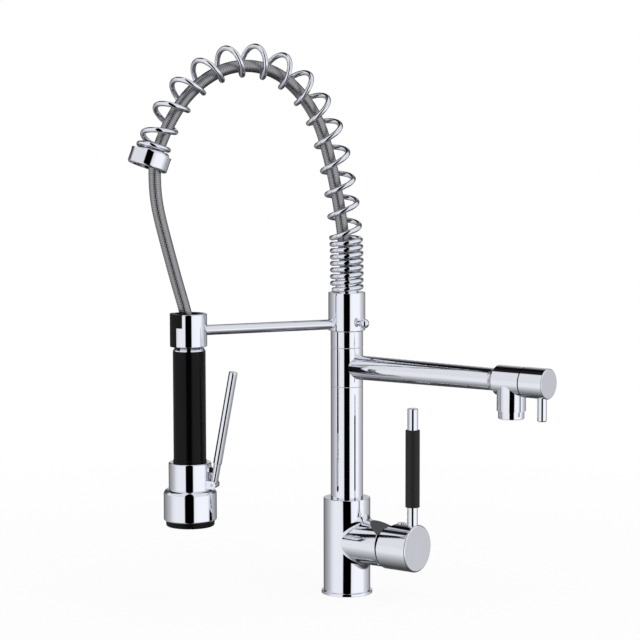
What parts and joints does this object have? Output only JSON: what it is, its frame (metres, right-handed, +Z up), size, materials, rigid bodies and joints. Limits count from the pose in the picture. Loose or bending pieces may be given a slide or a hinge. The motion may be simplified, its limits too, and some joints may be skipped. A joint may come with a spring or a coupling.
{
  "type": "kitchen faucet",
  "caption": "Deck-mounted kitchen faucet with a side lever mixer, a swinging spout with its own valve, and a sprung hose arch that carries a pull-down spray wand in a dock.",
  "frame": {"origin": "centre of the base on the deck, at the mouth of the fixing stud's hole", "axes": "+Z up along the column, +X along the mixer handle and the spout"},
  "size_m": [0.3436, 0.215, 0.526],
  "materials": {
    "chrome": "polished",
    "black_grip": "moulded, satin",
    "black_rubber": "matte",
    "brass": "machined",
    "white_plastic": "moulded",
    "ceramic": "lapped ceramic",
    "steel": "stainless",
    "hose_braid": "braided stainless wire over a rubber hose"
  },
  "bodies": {
    "column": {"base_ring": "chrome", "base_gasket": "black_rubber", "mixer_body": "chrome", "mixer_cover": "chrome", "port_seals": "black_rubber", "cartridge_base": "white_plastic", "cartridge_shell": "white_plastic", "fixed_disc": "ceramic", "cartridge_nut": "brass", "riser_tube": "chrome", "swivel_core": "brass", "swivel_seals": "black_rubber", "swivel_washers": "white_plastic", "upper_column": "chrome", "core_nut": "brass"},
    "carrier": {"carrier": "white_plastic", "pivot_pin": "steel"},
    "flow_disc": {"moving_disc": "ceramic"},
    "handle": {"cartridge_stem": "brass", "handle_cap": "chrome", "lever_rod": "chrome", "lever_sleeve": "black_grip", "handle_screw": "steel", "handle_plug": "chrome"},
    "spout": {"spout_arm": "chrome", "valve_body": "chrome", "valve_headwork": "brass", "aerator_housing": "chrome", "aerator_insert": "white_plastic", "aerator_washer": "black_rubber"},
    "knob": {"valve_spindle": "brass", "valve_knob": "chrome", "knob_pin": "chrome"},
    "spring_arm": {"arm_sleeve": "chrome", "arm_rod": "chrome", "ball_screw": "chrome", "dock_ring": "chrome", "dock_liner": "black_grip", "spring_seat": "chrome", "spring": "chrome", "spring_collar": "chrome", "hose_upper": "hose_braid", "hose_free": "hose_braid"},
    "hose_end": {"hose_ferrule": "steel", "ferrule_clip": "steel"},
    "wand": {"wand_neck": "chrome", "wand_grip": "black_grip", "wand_core": "white_plastic", "wand_collar": "chrome", "wand_bell": "chrome", "spray_face": "black_grip", "spray_nozzles": "black_rubber", "trigger_pin": "steel"},
    "trigger": {"trigger_lever": "chrome"},
    "plunger": {"trigger_plunger": "black_grip"}
  },
  "joints": [
    {"name": "temperature_turn", "type": "hinge", "parent": "column", "child": "carrier", "pos_m": [0.0195, 0, 0.052], "axis": [1, 0, 0], "range_deg": [-40, 40]},
    {"name": "lever_tilt", "type": "hinge", "parent": "carrier", "child": "handle", "pos_m": [0.0195, 0, 0.052], "axis": [0, -1, 0], "range_deg": [0, 10]},
    {"name": "disc_slide", "type": "slide", "parent": "carrier", "child": "flow_disc", "axis": [0, 0, -1], "range_m": [0, 0.0012]},
    {"name": "spout_swing", "type": "hinge", "parent": "column", "child": "spout", "pos_m": [0, 0, 0.2195], "axis": [0, 0, 1], "range_deg": [-40, 150]},
    {"name": "knob_turn", "type": "hinge", "parent": "spout", "child": "knob", "pos_m": [0.2, 0, 0.2195], "axis": [1, 0, 0], "range_deg": [0, 90]},
    {"name": "arm_swing", "type": "hinge", "parent": "column", "child": "spring_arm", "pos_m": [0, 0, 0.27], "axis": [0, 0, 1], "range_deg": [-45, 45]},
    {"name": "wand_pull", "type": "slide", "parent": "spring_arm", "child": "hose_end", "axis": [0, 0, -1], "range_m": [0, 0.05], "stiffness_N_per_m": 150, "springref_m": -0.08, "deforming": ["hose_free"]},
    {"name": "wand_turn", "type": "hinge", "parent": "hose_end", "child": "wand", "pos_m": [-0.08, -0.13856, 0.237], "axis": [0, 0, 1], "continuous": true},
    {"name": "trigger_press", "type": "hinge", "parent": "wand", "child": "trigger", "pos_m": [-0.05736, -0.13121, 0.1175], "axis": [0.309, -0.9511, 0], "range_deg": [0, 8], "stiffness_Nm_per_rad": 1.2, "springref_deg": -8.59},
    {"name": "plunger_slide", "type": "slide", "parent": "wand", "child": "plunger", "axis": [-0.9511, -0.309, 0], "range_m": [0, 0.0022]}
  ],
  "couplings": [
    {"joint": "disc_slide", "follows": "lever_tilt", "m_per_rad": 0.0058},
    {"joint": "plunger_slide", "follows": "trigger_press", "m_per_rad": 0.0109}
  ]
}
